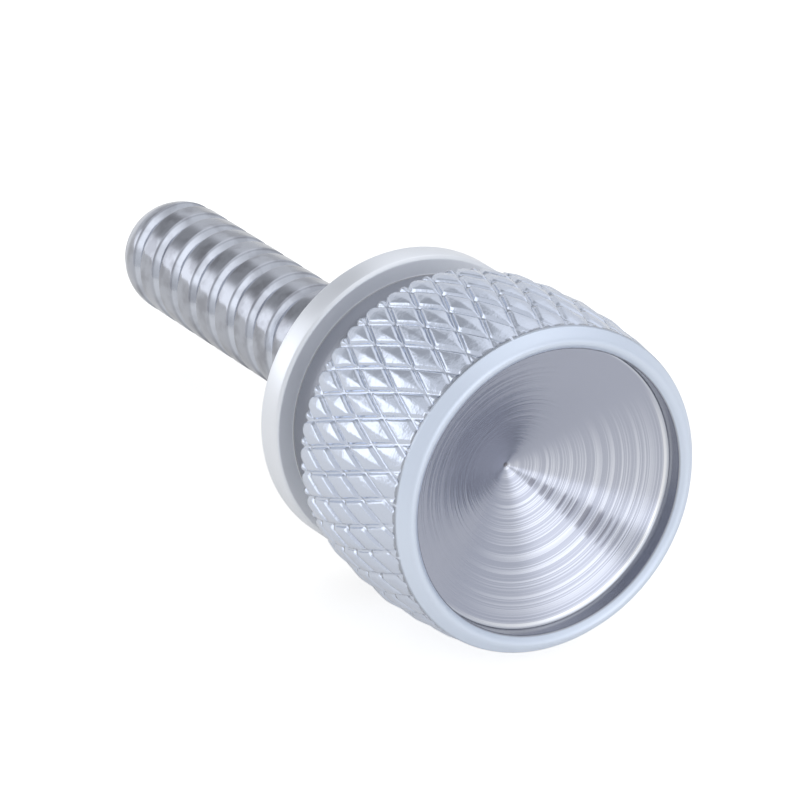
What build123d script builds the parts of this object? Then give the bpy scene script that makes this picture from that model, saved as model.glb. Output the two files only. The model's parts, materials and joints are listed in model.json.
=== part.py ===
from build123d import *
import os
from math import atan, ceil, cos, degrees, pi, radians, sin, tan

# A knurled thumb screw, turned from one bar: a threaded shank with a domed tip, a thin flange,
# a narrower neck, a barrel with a diamond knurl, and a dished front inside a smooth rim.
# Lengths are in millimetres. The screw is turned about Z, with the flange's seat at zero,
# the head above it and the shank below, and is laid on its side at the end.

# Shank and thread
shank_diameter = 6.0
shank_length = 26.0  # from the flange's seat to the tip of the dome
collar_length = 2.0  # plain part of the shank, between the flange and the thread
thread_pitch = 2.04
thread_depth = 0.43
thread_crest = 1.22  # flat left on top of the thread
thread_flank_angle = 30.0  # between a flank and a plane square to the axis

# Flange and neck
flange_diameter = 16.0
flange_thickness = 1.7
flange_edge_break = 0.15
neck_diameter = 14.0
neck_length = 3.1

# Knurled barrel: diameters over the points of the diamonds, and the depth of the grooves
knurl_length = 9.7
knurl_rear_diameter = 16.8
knurl_middle_diameter = 17.86
knurl_front_diameter = 17.1
knurl_rear_depth = 0.28
knurl_middle_depth = 0.45
knurl_front_depth = 0.12
knurl_teeth = 38
knurl_row_pitch = 1.96  # from one row of points to the next
knurl_first_row = 0.88  # from the barrel's rear face to its first whole row of points

# Rim and dish
rim_step = 0.05  # from the points of the knurl's front end in to the rim
rim_height = 0.9
rim_lean = 0.58  # how far in the rim's crest lies from its foot
rim_crest_break = 0.2
rim_width = 1.05  # from the foot of the rim in to the edge of the dish
dish_lip_drop = 0.45  # from the top of the rim down to the edge of the dish
dish_wall = 0.9
dish_cone_depth = 3.4

groove_overrun = 0.3  # how far the thread's groove is cut past the shank's surface

shank_radius = shank_diameter / 2
flange_radius = flange_diameter / 2
neck_radius = neck_diameter / 2
rim_radius = knurl_front_diameter / 2 - rim_step
crest_radius = rim_radius - rim_lean
dish_radius = rim_radius - rim_width

neck_top = flange_thickness + neck_length
knurl_top = neck_top + knurl_length
rim_top = knurl_top + rim_height
dish_edge = rim_top - dish_lip_drop
dish_floor = dish_edge - dish_wall
dish_apex = dish_floor - dish_cone_depth


def along_barrel(height, rear, middle, front):
    """A size of the barrel at a height, on the curve through its rear, middle and front values."""
    share = (height - neck_top) / knurl_length
    rear_weight = (2 * share - 1) * (share - 1)
    middle_weight = 4 * share * (1 - share)
    front_weight = (2 * share - 1) * share
    return rear * rear_weight + middle * middle_weight + front * front_weight


def point_radius(height):
    """The radius over the diamonds' points at a height."""
    return along_barrel(height, knurl_rear_diameter, knurl_middle_diameter, knurl_front_diameter) / 2


def groove_radius(height):
    """The radius at the bottom of the knurl's grooves at a height."""
    return point_radius(height) - along_barrel(height, knurl_rear_depth, knurl_middle_depth, knurl_front_depth)


# The rows of diamonds run one row past each end of the barrel, which then trims them square.
row_count = int((knurl_length - knurl_first_row) / knurl_row_pitch) + 1
row_heights = [neck_top + knurl_first_row + row * knurl_row_pitch for row in range(-1, row_count + 1)]
half_tooth = pi / knurl_teeth
roll_steps = 60  # tries within half a tooth for the way the screw lies


def ring_point(height, half_steps, radius):
    """A point on a circle about Z, counted in half teeth from the side that lies lowest."""
    angle = half_steps * half_tooth
    return Vector(radius * cos(angle), radius * sin(angle), height)


def knurl_point(row, half_steps):
    """A diamond's point or the foot between two diamonds: the two take turns round each row."""
    height = row_heights[row]
    is_point = (row + half_steps) % 2 == 1
    radius = point_radius(height) if is_point else groove_radius(height)
    return ring_point(height, half_steps, radius)


def knurl_facets():
    """Two triangles between each pair of half teeth, from row to row, split along the groove between diamonds."""
    facets = []
    for row in range(len(row_heights) - 1):
        for step in range(2 * knurl_teeth):
            low, low_next = knurl_point(row, step), knurl_point(row, step + 1)
            high, high_next = knurl_point(row + 1, step), knurl_point(row + 1, step + 1)
            if (row + step) % 2 == 1:
                corners = [(low, low_next, high), (low_next, high_next, high)]
            else:
                corners = [(low, low_next, high_next), (low, high_next, high)]
            facets += [Face(Wire.make_polygon(corner)) for corner in corners]
    for row in (0, len(row_heights) - 1):
        facets.append(Face(Wire.make_polygon([knurl_point(row, step) for step in range(2 * knurl_teeth)])))
    return facets


# Barrel with its diamonds, trimmed to the barrel's two end faces
with BuildPart() as barrel:
    add(Solid(Shell(knurl_facets())))
    split(bisect_by=Plane.XY.offset(neck_top), keep=Keep.TOP)
    split(bisect_by=Plane.XY.offset(knurl_top), keep=Keep.BOTTOM)

# One turn of the thread's groove
groove_start = -shank_length - thread_pitch
groove_turns = ceil((-collar_length - groove_start) / thread_pitch) + 1
groove_mouth = thread_pitch - thread_crest
groove_spread = tan(radians(thread_flank_angle))  # how fast each flank leans away from the groove's middle
groove_foot = groove_mouth - 2 * thread_depth * groove_spread
groove_top = groove_mouth + 2 * groove_overrun * groove_spread
with BuildPart() as groove_turn:
    with BuildLine() as groove_path:
        Helix(thread_pitch, thread_pitch, shank_radius)
    with BuildSketch(Plane.XZ):
        with BuildLine():
            Polyline(
                (shank_radius - thread_depth, -groove_foot / 2),
                (shank_radius - thread_depth, groove_foot / 2),
                (shank_radius + groove_overrun, groove_top / 2),
                (shank_radius + groove_overrun, -groove_top / 2),
                close=True,
            )
        make_face()
    sweep(path=groove_path.line, is_frenet=True)

with BuildPart() as turned:
    # Shank with a domed tip
    with BuildSketch(Plane.XZ):
        with BuildLine():
            dome_base = -shank_length + shank_radius
            Line((0, flange_thickness), (shank_radius, flange_thickness))
            Line((shank_radius, flange_thickness), (shank_radius, dome_base))
            CenterArc((0, dome_base), shank_radius, 0, -90)
            Line((0, -shank_length), (0, flange_thickness))
        make_face()
    revolve(axis=Axis.Z)

    # Thread groove, turn after turn from past the tip up into the collar
    with Locations([(0, 0, groove_start + turn * thread_pitch) for turn in range(groove_turns)]):
        add(groove_turn.part, mode=Mode.SUBTRACT)
    with Locations((0, 0, -collar_length)):
        Cylinder(shank_radius, collar_length, align=(Align.CENTER, Align.CENTER, Align.MIN))

    # Flange and neck
    with BuildSketch(Plane.XZ):
        with BuildLine():
            Polyline(
                (0, 0),
                (flange_radius - flange_edge_break, 0),
                (flange_radius, flange_edge_break),
                (flange_radius, flange_thickness - flange_edge_break),
                (flange_radius - flange_edge_break, flange_thickness),
                (neck_radius, flange_thickness),
                (neck_radius, neck_top),
                (0, neck_top),
                close=True,
            )
        make_face()
    revolve(axis=Axis.Z)

    # Barrel, and the rim that rounds over its front
    add(barrel.part)
    with BuildSketch(Plane.XZ) as rim_section:
        with BuildLine():
            Polyline(
                (0, knurl_top),
                (rim_radius, knurl_top),
                (crest_radius, rim_top),
                (dish_radius, dish_edge),
                (0, dish_edge),
                close=True,
            )
        make_face()
        crest = rim_section.vertices().sort_by(Axis.Y)[-1]
        chamfer(crest, rim_crest_break)
    revolve(axis=Axis.Z)

    # Dish: a short straight wall and a shallow cone
    with BuildSketch(Plane.XZ):
        with BuildLine():
            Polyline(
                (0, dish_apex),
                (dish_radius, dish_floor),
                (dish_radius, rim_top),
                (0, rim_top),
                close=True,
            )
        make_face()
    revolve(axis=Axis.Z, mode=Mode.SUBTRACT)


def rest_slope(roll):
    """The steepest line from the flange's rear edge to the points of the barrel, when rolled by an angle."""
    slopes = []
    for row, height in enumerate(row_heights[1:-1], start=1):
        first_point = half_tooth if row % 2 == 0 else 0
        off_bottom = (roll + first_point + half_tooth) % (2 * half_tooth) - half_tooth
        reach = point_radius(height) * cos(off_bottom)
        slopes.append((reach - flange_radius) / (height - flange_edge_break))
    return max(slopes)


# The screw lies on its flange's edge and on two points of its barrel, with the dish a little raised.
rest_roll = min([half_tooth * step / roll_steps for step in range(roll_steps + 1)], key=rest_slope)
rest_tilt = atan(rest_slope(rest_roll))
with BuildPart() as thumb_screw:
    add(turned.part, rotation=(0, 90 - degrees(rest_tilt), degrees(rest_roll)))

os.makedirs("parts", exist_ok=True)
thumb_screw.part.label = "thumb_screw"
export_step(thumb_screw.part, "parts/thumb_screw.step")
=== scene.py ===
import bpy
import json
import math
import numpy as np
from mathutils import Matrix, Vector


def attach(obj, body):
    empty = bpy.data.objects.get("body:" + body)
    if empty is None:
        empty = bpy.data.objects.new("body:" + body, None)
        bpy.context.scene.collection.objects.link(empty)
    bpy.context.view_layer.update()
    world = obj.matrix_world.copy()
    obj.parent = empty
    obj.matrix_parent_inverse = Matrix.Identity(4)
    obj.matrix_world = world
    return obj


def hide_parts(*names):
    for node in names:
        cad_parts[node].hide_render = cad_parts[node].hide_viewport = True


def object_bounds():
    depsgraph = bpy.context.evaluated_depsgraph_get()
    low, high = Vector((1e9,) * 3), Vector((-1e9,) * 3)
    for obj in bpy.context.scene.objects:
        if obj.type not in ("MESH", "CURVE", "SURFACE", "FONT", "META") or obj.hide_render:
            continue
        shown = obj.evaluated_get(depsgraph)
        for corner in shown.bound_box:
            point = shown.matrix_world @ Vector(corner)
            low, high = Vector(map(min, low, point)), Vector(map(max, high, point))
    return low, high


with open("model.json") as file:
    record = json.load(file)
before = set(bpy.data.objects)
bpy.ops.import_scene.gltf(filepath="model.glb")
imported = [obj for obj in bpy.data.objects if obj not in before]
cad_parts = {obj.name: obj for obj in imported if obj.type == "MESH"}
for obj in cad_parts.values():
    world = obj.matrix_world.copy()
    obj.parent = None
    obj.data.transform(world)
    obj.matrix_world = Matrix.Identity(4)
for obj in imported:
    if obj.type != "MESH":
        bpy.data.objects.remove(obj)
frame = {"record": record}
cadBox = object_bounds()
mm = 0.001
tau = 2 * np.pi
white = (1, 1, 1, 1)

# the screw's own directions: along its axis to the dish, down to the floor as it lies, and sideways
seat = [m for m in frame["record"]["mounts"] if m["name"] == "seat"][0]
axisDir = -np.array(seat["axis"])
downDir = np.array([axisDir[2], 0.0, -axisDir[0]])
sideDir = np.array([0.0, 1.0, 0.0])
print("frame loaded, axis", np.round(axisDir, 4))


# a point is its distance along the axis, plus its radius in the direction of its turn about the axis
def place(along, out, turn):
    shares = [along, out * np.cos(turn), out * np.sin(turn)]
    points = sum(share[..., None] * way for share, way in zip(shares, (axisDir, downDir, sideDir)))
    return points * mm


# faces of a grid of rows by columns, closed round the columns, with a pole at each end;
# where lean is true a square is split along its other diagonal
def shellFaces(rows, columns, lean):
    index = np.arange(rows * columns).reshape(rows, columns)
    a, d = index[:-1], index[1:]
    b, c = np.roll(a, -1, 1), np.roll(d, -1, 1)
    first = np.where(lean[..., None], np.stack([a, b, d], -1), np.stack([a, b, c], -1))
    second = np.where(lean[..., None], np.stack([b, c, d], -1), np.stack([a, c, d], -1))
    low, high = np.full(columns, rows * columns), np.full(columns, rows * columns + 1)
    lowFan = np.stack([low, np.roll(index[0], -1), index[0]], -1)
    highFan = np.stack([high, index[-1], np.roll(index[-1], -1)], -1)
    return np.concatenate([first.reshape(-1, 3), second.reshape(-1, 3), lowFan, highFan])


# a closed surface about the axis, from one pole on the axis to the other
def shell(along, out, turn, poles, lean=None):
    rows, columns = along.shape
    lean = np.zeros((rows - 1, columns), bool) if lean is None else lean
    ends = place(np.array(poles), np.zeros(2), np.zeros(2))
    points = np.concatenate([place(along, out, turn).reshape(-1, 3), ends])
    return points, shellFaces(rows, columns, lean)


# a chain of straight runs between corners, each with its own number of steps
def runs(corners, steps):
    pieces = [np.linspace(p, q, n, endpoint=False) for p, q, n in zip(corners[:-1], corners[1:], steps)]
    return np.concatenate(pieces + [np.array(corners[-1:], float)])


# a rounded corner: the curve from one point to another, bent towards the corner between them
def rounded(start, corner, end, steps=4):
    t = np.linspace(0, 1, steps + 1)[:, None]
    start, corner, end = np.array(start), np.array(corner), np.array(end)
    return (1 - t) ** 2 * start + 2 * t * (1 - t) * corner + t ** 2 * end


# the shank and its thread, in millimetres, along the axis from the flange's seat; the last two rows are how the
# thread is tucked into the shank and its two ends are hidden there, and how fine the surfaces are
shankSizes = {
    "radius": 3.0, "tip": -26.0, "collar": -2.0, "collarRound": 0.06, "into": 0.8,
    "pitch": 2.04, "depth": 0.43, "crest": 1.22, "flankRun": 0.248, "grooveAt": -28.04, "cornerRound": 0.07,
    "buried": 0.25, "tipGap": 0.3, "collarTuck": 0.4, "tuckFrom": 0.02, "sunk": 0.1, "extraTurns": 1.2,
    "columns": 144, "domeRows": 24, "domeStart": 0.03, "coreRows": 12, "crestSteps": 6, "stepsPerTurn": 72}


# the dome's radius is that of a half ball at the tip, and the shank's own radius above it
def domeRadius(along):
    size = shankSizes
    below = np.clip(size["tip"] + size["radius"] - along, 0, size["radius"])
    return np.sqrt(np.maximum(size["radius"] ** 2 - below ** 2, 0))


# core: the ball-ended cylinder at the bottom of the thread, and the plain collar under the flange
def shankCore():
    size = shankSizes
    radius, collar, soft, columns = size["radius"], size["collar"], size["collarRound"], size["columns"]
    root = radius - size["depth"]
    bend = np.linspace(size["domeStart"], 1, size["domeRows"]) * np.arcsin(root / radius)
    domeAlong = size["tip"] + radius * (1 - np.cos(bend))
    profile = np.concatenate([
        np.stack([domeAlong, np.minimum(domeRadius(domeAlong), root)], -1),
        runs([(domeAlong[-1], root), (collar, root)], (size["coreRows"],))[1:],
        rounded((collar, radius - soft), (collar, radius), (collar + soft, radius), steps=3),
        [(size["into"], radius)],
    ])
    turn = np.arange(columns) / columns * tau
    along, out = [np.repeat(profile[:, n, None], columns, 1) for n in (0, 1)]
    return shell(along, out, np.repeat(turn[None], len(along), 0), (size["tip"], size["into"]))


# thread: a trapezium carried along a right-hand helix, cut off by the dome at the tip and sunk into the collar
def threadRidge():
    size = shankSizes
    radius, collar, r, buried = size["radius"], size["collar"], size["cornerRound"], size["buried"]
    root = radius - size["depth"]
    half, foot = size["crest"] / 2, size["crest"] / 2 + size["flankRun"]
    lean = size["flankRun"] / size["depth"]
    upper = rounded((half + r * lean, radius - r), (half, radius), (half - r, radius))
    lower = upper * (-1, 1)
    crest = np.linspace(lower[-1], upper[-1], size["crestSteps"])[1:-1]
    deep = foot + buried * lean
    inner = [(deep, root - buried), (-deep, root - buried)]
    section = np.concatenate([[(-foot, root)], lower, crest, upper[::-1], [(foot, root)], inner])
    turns = (collar - size["tip"]) / size["pitch"] + size["extraTurns"]
    path = np.arange(int(turns * size["stepsPerTurn"])) / size["stepsPerTurn"] * tau
    path, across = np.meshgrid(path, section[:, 0], indexing="ij")
    out = np.repeat(section[None, :, 1], len(path), 0)
    along = size["grooveAt"] + size["pitch"] * (0.5 + path / tau) + across  # midway between two grooves
    along = np.clip(along, size["tip"] + size["tipGap"], collar + size["collarTuck"])
    dome = domeRadius(along)
    out = np.minimum(out, np.where(dome > root, dome, dome - size["sunk"]))
    out = np.where(along > collar + size["tuckFrom"], np.minimum(out, radius - size["sunk"]), out)
    count, sides = out.shape
    points = place(along, out, path)
    index = np.arange(count * sides).reshape(count, sides)
    a, b = index[:-1], index[1:]
    quads = np.stack([a, b, np.roll(b, -1, 1), np.roll(a, -1, 1)], -1).reshape(-1, 4)
    faces = np.concatenate([quads[:, :3], quads[:, [0, 2, 3]]])
    caps = np.array([points[0].mean(0), points[-1].mean(0)])
    low, high = np.full(sides, count * sides), np.full(sides, count * sides + 1)
    lowFan = np.stack([low, index[0], np.roll(index[0], -1)], -1)
    highFan = np.stack([high, np.roll(index[-1], -1), index[-1]], -1)
    return np.concatenate([points.reshape(-1, 3), caps]), np.concatenate([faces, lowFan, highFan])


# the head, in millimetres: flange and neck, knurl, rim and dish, then how far each kind of corner is softened and
# where the rows next to a corner stand
headSizes = {
    "flange": 8.0, "flangeThick": 1.7, "flangeBreak": 0.15, "neck": 7.0, "neckTop": 4.8,
    "knurlTop": 14.5, "pointDiameters": (16.8, 17.86, 17.1), "grooveDepths": (0.28, 0.45, 0.12),
    "teeth": 38, "rowPitch": 1.96, "firstRow": 5.68, "rowSpan": (-2, 8), "fine": 8, "endGap": 0.02,
    "grooveRound": 0.06, "pointRound": 0.12, "wallRun": 0.25, "wallShare": 0.62,
    "wear": 0.14, "wearSeed": 7, "wearRows": 32, "wearNudge": 1e-6,
    "rim": 8.53, "rimTop": 15.4, "rimCrest": 7.92, "rimRound": 0.42,
    "dish": 7.45, "dishEdge": 14.95, "dishFloor": 14.05, "dishApex": 10.65,
    "seatRows": (0.6, 3.2), "breakSoft": 0.03, "edgeSoft": 0.05, "neckFillet": 0.08, "neckSoft": 0.05,
    "lipSoft": 0.04, "lipRow": 0.05, "wallRow": 0.06, "floorSoft": (0.03, 0.06), "coneRow": (0.05, 0.1095)}


# a size of the barrel on the curve through its rear, middle and front values
def alongBarrel(along, values):
    share = (along - headSizes["neckTop"]) / (headSizes["knurlTop"] - headSizes["neckTop"])
    rear, middle, front = values
    return rear * (2 * share - 1) * (share - 1) + middle * 4 * share * (1 - share) + front * (2 * share - 1) * share


# knurl: two sets of slanting grooves; the height of a diamond grows with the distance to the nearest groove, fast
# in the groove's own walls and slower above them, with the bottom of the grooves and the points rounded, and each
# diamond is worn down by its own small share
def knurlRadius(along, turn):
    size = headSizes
    around = turn / (tau / 2 / size["teeth"])
    rows = (along - size["firstRow"]) / size["rowPitch"]
    slants = [around + sign * rows for sign in (1, -1)]
    height = 1 - np.maximum(*[1 - np.abs(s % 2 - 1) for s in slants])
    wall = np.minimum(height / size["wallRun"], 1)
    height = size["wallShare"] * wall + (1 - size["wallShare"]) * height
    low, high = size["grooveRound"], size["pointRound"]
    height = np.sqrt(height ** 2 + low ** 2) - low
    height = 1 - (np.sqrt((1 - height) ** 2 + high ** 2) - high)
    wearRows, wearColumns = size["wearRows"], 2 * size["teeth"]
    wear = np.random.default_rng(size["wearSeed"]).uniform(0, size["wear"], (wearRows, wearColumns))
    first, second = [np.floor((s + 1) / 2 + size["wearNudge"]).astype(int) for s in slants]
    height = height * (1 - wear[(first - second) % wearRows, (first + second) % wearColumns])
    depth = alongBarrel(along, size["grooveDepths"])
    return alongBarrel(along, size["pointDiameters"]) / 2 - depth * (1 - height)


# head: one profile turned about the axis, from the seat's centre out over the flange, in to the neck, along the
# barrel, where the knurl gives the radius, over the rim and down the dish to its lowest point
def head():
    size = headSizes
    fine, columns = size["fine"], 2 * size["teeth"] * size["fine"]
    turn = np.arange(columns) / columns * tau
    edge, soft, side = size["flangeBreak"], size["breakSoft"], size["edgeSoft"]
    flange, thick, neck, neckTop = size["flange"], size["flangeThick"], size["neck"], size["neckTop"]
    bore, seatRow = size["seatRows"]
    fillet, corner = size["neckFillet"], size["neckSoft"]
    # rear half, as pairs of distance along and radius
    rear = np.concatenate([
        runs([(0, bore), (0, seatRow), (0, flange - edge - 2 * soft)], (2, 4)),
        rounded((0, flange - edge - soft), (0, flange - edge), (soft, flange - edge + soft), steps=2),
        rounded((edge - soft, flange - soft), (edge, flange), (edge + side, flange), steps=2),
        rounded((thick - edge - side, flange), (thick - edge, flange),
                (thick - edge + soft, flange - soft), steps=2),
        rounded((thick - soft, flange - edge + soft), (thick, flange - edge),
                (thick, flange - edge - 2 * soft), steps=2),
        rounded((thick, neck + fillet), (thick, neck), (thick + fillet, neck), steps=3),
        rounded((neckTop - corner, neck), (neckTop, neck), (neckTop, neck + corner), steps=2),
    ])
    # knurl rows on the lattice, between the barrel's two ends
    step = size["rowPitch"] / fine
    firstLine, lastLine = [row * fine for row in size["rowSpan"]]
    lattice = size["firstRow"] + np.arange(firstLine, lastLine) * step
    inside = (lattice > neckTop + size["endGap"]) & (lattice < size["knurlTop"] - size["endGap"])
    knurlAlong = np.concatenate([[neckTop], lattice[inside], [size["knurlTop"]]])
    knurlAlong, knurlTurn = np.meshgrid(knurlAlong, turn, indexing="ij")
    knurlOut = knurlRadius(knurlAlong, knurlTurn)
    # rim and dish
    dish, dishEdge, dishFloor = size["dish"], size["dishEdge"], size["dishFloor"]
    crest = np.array((size["rimTop"], size["rimCrest"]))
    outer, inner = np.array((size["knurlTop"], size["rim"])), np.array((dishEdge, dish))
    toOuter, toInner = [(end - crest) / np.hypot(*(end - crest)) for end in (outer, inner)]
    crestFrom, crestTo = crest + toOuter * size["rimRound"], crest + toInner * size["rimRound"]
    lip, wallRow = size["lipSoft"], size["wallRow"]
    floorDrop, floorIn = size["floorSoft"]
    coneDrop, coneIn = size["coneRow"]
    front = np.concatenate([
        runs([tuple(outer), tuple(crestFrom)], (4,))[:-1],
        rounded(crestFrom, crest, crestTo, steps=8),
        runs([tuple(crestTo), tuple(inner - toInner * size["lipRow"])], (2,))[1:],
        rounded(inner - toInner * lip, inner, inner - (lip, 0), steps=3),
        runs([(dishEdge - wallRow, dish), (dishFloor + wallRow, dish)], (3,)),
        rounded((dishFloor + lip, dish), (dishFloor, dish), (dishFloor - floorDrop, dish - floorIn), steps=2),
        runs([(dishFloor - coneDrop, dish - coneIn), (size["dishApex"] + coneDrop, coneIn)], (12,)),
    ])
    rings = [np.repeat(part[:, :, None], columns, 2) for part in (rear, front)]
    along = np.concatenate([rings[0][:, 0], knurlAlong, rings[1][:, 0]])
    out = np.concatenate([rings[0][:, 1], knurlOut, rings[1][:, 1]])
    turns = np.repeat(turn[None], len(along), 0)
    # squares in the knurl are split along the groove that crosses their part of the lattice
    rows = np.floor((along[:-1] + along[1:] - 2 * size["firstRow"]) / 2 / size["rowPitch"])
    lean = (rows + np.floor(np.arange(columns) / fine)[None]) % 2 == 0
    return shell(along, out, turns, (0.0, size["dishApex"]), lean)


# one mesh of the three closed shells
def buildScrew(name, shells):
    offsets = np.cumsum([0] + [len(points) for points, faces in shells[:-1]])
    points = np.concatenate([points for points, faces in shells])
    faces = np.concatenate([faces + shift for (p, faces), shift in zip(shells, offsets)])
    mesh = bpy.data.meshes.new(name)
    mesh.vertices.add(len(points))
    mesh.vertices.foreach_set("co", points.astype(np.float32).ravel())
    mesh.loops.add(faces.size)
    mesh.loops.foreach_set("vertex_index", faces.astype(np.int32).ravel())
    mesh.polygons.add(len(faces))
    mesh.polygons.foreach_set("loop_start", np.arange(0, faces.size, 3, dtype=np.int32))
    mesh.polygons.foreach_set("use_smooth", np.ones(len(faces), bool))
    mesh.update(calc_edges=True)
    mesh.validate()
    piece = bpy.data.objects.new(name, mesh)
    bpy.context.scene.collection.objects.link(piece)
    print(name, len(points), "points", len(faces), "triangles")
    return piece


screw = buildScrew("thumbScrew", [shankCore(), threadRidge(), head()])


# one output socket of a node tree; sums and products of it add Math nodes
class Sock:
    def __init__(self, tree, socket=None):
        self.tree = tree
        self.socket = socket

    # any node: its type, its settings, then its sockets' values or links, by name or by number as in i0
    def make(self, kind, settings=None, output=0, **inputs):
        node = self.tree.nodes.new(kind)
        for key, value in (settings or {}).items():
            setattr(node, key, value)
        for key, value in inputs.items():
            numbered = key[0] == "i" and key[1:].isdigit()
            target = node.inputs[int(key[1:]) if numbered else key.replace("_", " ")]
            if isinstance(value, Sock):
                self.tree.links.new(value.socket, target)
            else:
                target.default_value = value
        return Sock(self.tree, node.outputs[output])

    def math(self, operation, *values):
        return self.make("ShaderNodeMath", {"operation": operation}, **{f"i{n}": v for n, v in enumerate(values)})

    def vector(self, operation, output="Vector", **inputs):
        return self.make("ShaderNodeVectorMath", {"operation": operation}, output, i0=self, **inputs)

    def dot(self, other):
        return self.vector("DOT_PRODUCT", "Value", i1=other if isinstance(other, Sock) else tuple(other))

    # a smooth step from zero at one value to one at another
    def ramp(self, low, high):
        return self.make("ShaderNodeMapRange", {"interpolation_type": "SMOOTHSTEP"}, "Result",
                         Value=self, From_Min=low, From_Max=high)

    # noise in space, with so many waves to each unit
    def noise(self, count, detail):
        return self.make("ShaderNodeTexNoise", output="Fac", Vector=self, Scale=count, Detail=detail)

    # noise along one number
    def lineNoise(self, count, detail):
        return self.make("ShaderNodeTexNoise", {"noise_dimensions": "1D"}, "Fac", W=self, Scale=count, Detail=detail)

    def mix(self, factor, low, high):
        return self.make("ShaderNodeMix", {"data_type": "RGBA"}, 2, i0=factor, i6=low, i7=high)

    def __add__(self, other):
        return self.math("ADD", self, other)

    def __radd__(self, other):
        return self.math("ADD", other, self)

    def __sub__(self, other):
        return self.math("SUBTRACT", self, other)

    def __rsub__(self, other):
        return self.math("SUBTRACT", other, self)

    def __mul__(self, other):
        return self.math("MULTIPLY", self, other)

    def __rmul__(self, other):
        return self.math("MULTIPLY", other, self)

    def __truediv__(self, other):
        return self.math("DIVIDE", self, other)

    def __rtruediv__(self, other):
        return self.math("DIVIDE", other, self)


# the metal: parts are bounded in millimetres, along the axis and from it, and each fades in from the first number to
# the second; rings and marks have a depth in millimetres, a number of waves to the millimetre and the detail of their
# noise, and cloud, the thread's random dark patches and the dashes are as patches takes them; turns are degrees about
# the axis from the side it lies on; shades are shares of the dark colour, painted shade on the thread, its crests,
# the neck and the dish's wall, besides the thread's dark patches; and roughness adds to the plain one
metalLook = {
    "colours": {"plain": (0.75, 0.785, 0.86, 1), "dull": (0.66, 0.69, 0.76, 1), "dark": (0.10, 0.09, 0.10, 1),
                # flange and rim: lighter copies of the metal, painted light
                "flange": (0.92, 0.94, 0.975, 1), "knurl": (0.695, 0.745, 0.85, 1), "rim": (0.80, 0.87, 0.98, 1),
                # dish: a darker copy of the metal, painted shade
                "edge": (0.97, 0.98, 1.0, 1), "dish": (0.47, 0.49, 0.575, 1),
                # the dish's bright colour is a painted highlight in its fan
                "dishHighlight": (0.79, 0.81, 0.88, 1), "chatterReflection": (0.20, 0.20, 0.25, 1)},
    "parts": {"dish": (("radius", 7.40, 7.30), ("along", 10.2, 10.5)),
              "rim": (("along", 14.45, 14.6), ("radius", 7.46, 7.52)),
              "thread": (("along", 0.0, -0.12),),
              "flange": (("along", -0.2, -0.1), ("along", 1.8, 1.72), ("radius", 3.3, 3.5)),
              "neck": (("along", 1.702, 1.72), ("along", 4.85, 4.75), ("radius", 7.3, 7.1)),
              "knurl": (("along", 4.7, 4.9), ("along", 14.6, 14.4), ("radius", 7.6, 7.7)),
              "wall": (("along", 13.98, 14.08), ("radius", 7.56, 7.48), ("radius", 7.28, 7.36))},
    # the last pair on this line bounds a painted highlight along the dish's outer edge
    "crestFrom": (2.86, 2.95), "faceFrom": (1.6, 1.68), "edgeHighlightFrom": (7.18, 7.24),
    "rings": ((0.010, 1.6, 1.5), (0.006, 4.5, 1.5), (0.0030, 14.0, 1.5)), "toolMarks": (0.0016, 9.0, 2),
    "knurlMarks": ((0.030, 1.8, 2), (0.009, 6.0, 2)),
    "cloud": (0.3, 3, 0.4, 0.7), "cloudShare": 0.3, "darkPatches": (0.8, 3, 0.42, 0.66),
    # streaks and the fan's share: a painted highlight in the dish's fan
    "highlightStreaks": ((3.2, 1), (7.0, 1), (13.0, 1)), "streakFrom": (0.45, 0.60), "streakShare": 0.8, "fanShare": 0.2,
    "fanTurn": 36.0, "fanSpread": (0.0, 0.85),
    # chatter: real tool marks, painted dark as their reflection along one line beside the dish's highlight
    "chatterTurn": 47.0, "chatterSpread": (0.984, 0.996), "chatterDashes": (3.1, 1, 0.50, 0.56),
    "chatterInner": (0.6, 1.0), "chatterOuter": (6.6, 5.6), "chatterShare": 0.6,
    # a pit at the dish's centre, painted shade
    "pitShade": (0.16, 0.08), "pitShadeShare": 0.8,
    # shades: painted shade on the whole thread, more on its crests, and much more on the neck and the dish's wall,
    # with the thread's random dark patches
    "shades": {"thread": 0.14, "darkPatches": 0.21, "crest": 0.24, "neck": 0.62, "wall": 0.52},
    "rough": 0.17,
    "roughness": {"cloud": 0.06, "dish": 0.03, "rim": 0.26, "flange": 0.18, "face": 0.22, "knurl": 0.03,
                  "highlightFan": -0.05, "thread": -0.05}}


# a mask from noise in space or along one number, with its waves, its detail and the values between which it fades in
def patches(noise, count, detail, low, high):
    return noise(count, detail).ramp(low, high)


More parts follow.
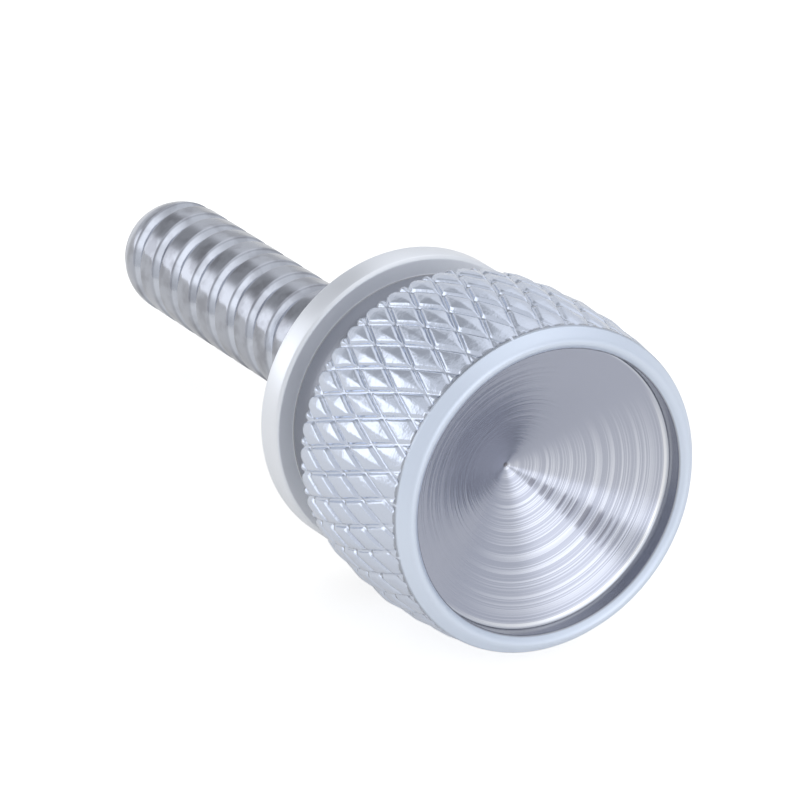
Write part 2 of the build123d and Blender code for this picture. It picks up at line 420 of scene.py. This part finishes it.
# the metal's colour, roughness and relief are worked out from a place's distance along the axis and from it, and
# from its turn about the axis
def brightMetal():
    look, paint = metalLook, metalLook["colours"]
    material = bpy.data.materials.new("brightMetal")
    material.use_nodes = True
    shader = material.node_tree.nodes["Principled BSDF"]
    start = Sock(material.node_tree)
    spot = start.make("ShaderNodeTexCoord", output="Object").vector("SCALE", Scale=1 / mm)
    along = spot.dot(axisDir)
    radius = start.math("SQRT", spot.dot(spot) - along * along)

    # how far a place lies towards one turn about the axis, from one there to minus one opposite
    def towardsTurn(angle):
        angle = np.radians(angle)
        return spot.dot(downDir * np.cos(angle) + sideDir * np.sin(angle)) / radius

    # the parts of the screw, each the product of its bounds
    ways = {"along": along, "radius": radius}
    on = {}
    for name, bounds in look["parts"].items():
        steps = [ways[way].ramp(low, high) for way, low, high in bounds]
        on[name] = math.prod(steps[1:], start=steps[0])
    # the thread's crests, which take extra painted shade
    on["crest"] = on["thread"] * radius.ramp(*look["crestFrom"])
    on["face"] = on["flange"] * along.ramp(*look["faceFrom"])
    on["cloud"] = patches(spot.noise, *look["cloud"])
    # random dark patches over the thread
    on["darkPatches"] = patches(spot.noise, *look["darkPatches"]) * on["thread"]
    # the rings catch a painted highlight in a fan to one side of the dish, up to its edge
    highlightFan = towardsTurn(look["fanTurn"]).ramp(*look["fanSpread"])
    on["highlightFan"] = on["dish"] * highlightFan
    # a painted highlight along the dish's outer edge, only in the fan
    on["edge"] = on["dish"] * radius.ramp(*look["edgeHighlightFrom"]) * highlightFan
    # relief: turned rings in the dish, which change with the radius alone, dents in the knurl, and fine tool marks
    # outside the dish
    height = sum(radius.lineNoise(count, detail) * depth for depth, count, detail in look["rings"]) * on["dish"]
    depth, count, detail = look["toolMarks"]
    height = height + along.lineNoise(count, detail) * (1 - on["dish"]) * depth
    for depth, count, detail in look["knurlMarks"]:
        height = height + spot.noise(count, detail) * on["knurl"] * depth
    bump = start.make("ShaderNodeBump", output="Normal", Height=height, Distance=mm, Strength=1)
    # the dish: bright streaks in the fan, a painted highlight; dashes where the tool has chattered along one line,
    # painted dark as their reflection there; and a pit in the middle, painted shade
    highlightStreaks = sum(radius.lineNoise(count, detail) for count, detail in look["highlightStreaks"]) / len(look["highlightStreaks"])
    paintedHighlight = (highlightStreaks.ramp(*look["streakFrom"]) * look["streakShare"] + look["fanShare"]) * highlightFan
    dashes = patches(radius.lineNoise, *look["chatterDashes"]) * radius.ramp(*look["chatterInner"])
    # the chatter dashes are tool marks; their darkness is painted reflection along one line beside the painted
    # highlight
    chatterReflection = towardsTurn(look["chatterTurn"]).ramp(*look["chatterSpread"]) * dashes
    chatterReflection = chatterReflection * radius.ramp(*look["chatterOuter"]) * look["chatterShare"]
    dish = start.mix(paintedHighlight, paint["dish"], paint["dishHighlight"])
    dish = start.mix(chatterReflection, dish, paint["chatterReflection"])
    # painted shade of a pit at the dish's centre
    dish = start.mix(radius.ramp(*look["pitShade"]) * look["pitShadeShare"], dish, paint["dark"])
    # colour and roughness, part by part: the flange and rim take lighter copies of the metal, painted light, and the
    # dish a darker one, painted shade
    colour = start.mix(on["cloud"] * look["cloudShare"], paint["plain"], paint["dull"])
    for name in ("flange", "knurl", "rim", "dish", "edge"):
        colour = start.mix(on[name], colour, dish if name == "dish" else paint[name])
    # painted shade: the thread, its crests, the neck and the dish's wall, and the thread's random dark patches, are
    # mixed towards the dark colour
    shade = sum(on[name] * share for name, share in look["shades"].items())
    colour = start.mix(shade, colour, paint["dark"])
    rough = look["rough"] + sum(on[name] * more for name, more in look["roughness"].items())
    for name, value in (("Base Color", colour), ("Roughness", rough), ("Normal", bump)):
        material.node_tree.links.new(value.socket, shader.inputs[name])
    shader.inputs["Metallic"].default_value = 1
    return material


screw.data.materials.append(brightMetal())
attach(screw, "root")
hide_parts("thumb_screw")
print("material on")

# camera: the photograph's direction and distance in millimetres, with the seat's centre a little off the middle
view = {"azimuth": 59.976, "elevation": 28.472, "distance": 409.2, "right": 0.101, "up": -0.202,
        "lens": 363.9, "sensor": 36, "clip": (0.01, 10)}
az, el = np.radians(view["azimuth"]), np.radians(view["elevation"])
towards = np.array([np.sin(az) * np.cos(el), -np.cos(az) * np.cos(el), np.sin(el)])
rightDir = np.array([np.cos(az), np.sin(az), 0])
upDir = np.cross(towards, rightDir)
camera = bpy.data.objects.new("camera", bpy.data.cameras.new("camera"))
bpy.context.scene.collection.objects.link(camera)
camera.data.sensor_width = view["sensor"]
camera.data.lens = view["lens"]
camera.data.clip_start, camera.data.clip_end = view["clip"]
camera.location = (view["distance"] * towards + view["right"] * rightDir + view["up"] * upDir) * mm
camera.rotation_mode = "QUATERNION"
camera.rotation_quaternion = Vector(-towards).to_track_quat("-Z", "Y")
bpy.context.scene.camera = camera
print("camera set")

# floor: a wide pale disc at the lowest point of the screw, its radius in metres
floorLook = {"radius": 2.0, "sides": 96, "colour": (0.72, 0.70, 0.66, 1), "glow": 0.70, "mirrored": 0.42}
turn = np.arange(floorLook["sides"]) / floorLook["sides"] * tau
floorEdge = np.stack([np.cos(turn), np.sin(turn), 0 * turn], -1) * floorLook["radius"] + (0, 0, cadBox[0].z)
floorMesh = bpy.data.meshes.new("floor")
floorMesh.from_pydata(floorEdge.tolist(), [], [list(range(floorLook["sides"]))])
floor = bpy.data.objects.new("floor", floorMesh)
bpy.context.scene.collection.objects.link(floor)


# how much of the white surround a ray sees: all of it from the camera or through glass, a share in a mirror
def whiteShare(start):
    names = ("Is Camera Ray", "Is Transmission Ray", "Is Glossy Ray")
    direct, through, mirror = [start.make("ShaderNodeLightPath", output=name) for name in names]
    return start.math("MINIMUM", direct + through + mirror * floorLook["mirrored"], 1)


def paleFloor():
    material = bpy.data.materials.new("paleFloor")
    material.use_nodes = True
    tree = material.node_tree
    tree.nodes.clear()
    start = Sock(tree)
    lit = start.make("ShaderNodeBsdfDiffuse", Color=floorLook["colour"])
    glow = start.make("ShaderNodeEmission", Color=white, Strength=whiteShare(start) * floorLook["glow"])
    both = start.make("ShaderNodeAddShader", i0=lit, i1=glow)
    tree.links.new(both.socket, tree.nodes.new("ShaderNodeOutputMaterial").inputs["Surface"])
    return material


floorMesh.materials.append(paleFloor())
print("floor laid")

# studio: a plain level of light from everywhere, brighter boxes and darker cards, each with its azimuth from +X
# towards +Y, its elevation, its half width in degrees and how much it adds or takes away; core is the share of the
# half width at full strength
studioLook = {"level": 0.55, "tint": (0.94, 0.98, 1.06, 1), "core": 0.35,
              "boxes": ((-5, 19, 42, 0.95), (-144, 8, 22, 1.40), (135, 48, 38, 0.40), (70, 78, 40, 0.30)),
              "cards": ((-176, 29, 22, 0.98), (-8, 13, 9, 0.8), (-36, 7, 19, 0.65), (-37, 48, 22, 0.55))}
world = bpy.data.worlds.new("studio")
bpy.context.scene.world = world
world.use_nodes = True
studio = Sock(world.node_tree)
direction = studio.make("ShaderNodeTexCoord", output="Generated")


# a soft round patch of the surround
def patch(azimuth, elevation, width):
    a, e = np.radians(azimuth), np.radians(elevation)
    facing = direction.dot((np.cos(e) * np.cos(a), np.cos(e) * np.sin(a), np.sin(e)))
    return facing.ramp(np.cos(np.radians(width)), np.cos(np.radians(width * studioLook["core"])))


light = studioLook["level"]
for azimuth, elevation, width, strength in studioLook["boxes"]:
    light = light + patch(azimuth, elevation, width) * strength
for azimuth, elevation, width, strength in studioLook["cards"]:
    light = light * (1 - patch(azimuth, elevation, width) * strength)
seen = whiteShare(studio)
background = world.node_tree.nodes["Background"]
world.node_tree.links.new((light * (1 - seen) + seen).socket, background.inputs["Strength"])
world.node_tree.links.new(studio.mix(seen, studioLook["tint"], white).socket, background.inputs["Color"])
bpy.context.scene.view_settings.view_transform = "Standard"
print("studio ready")
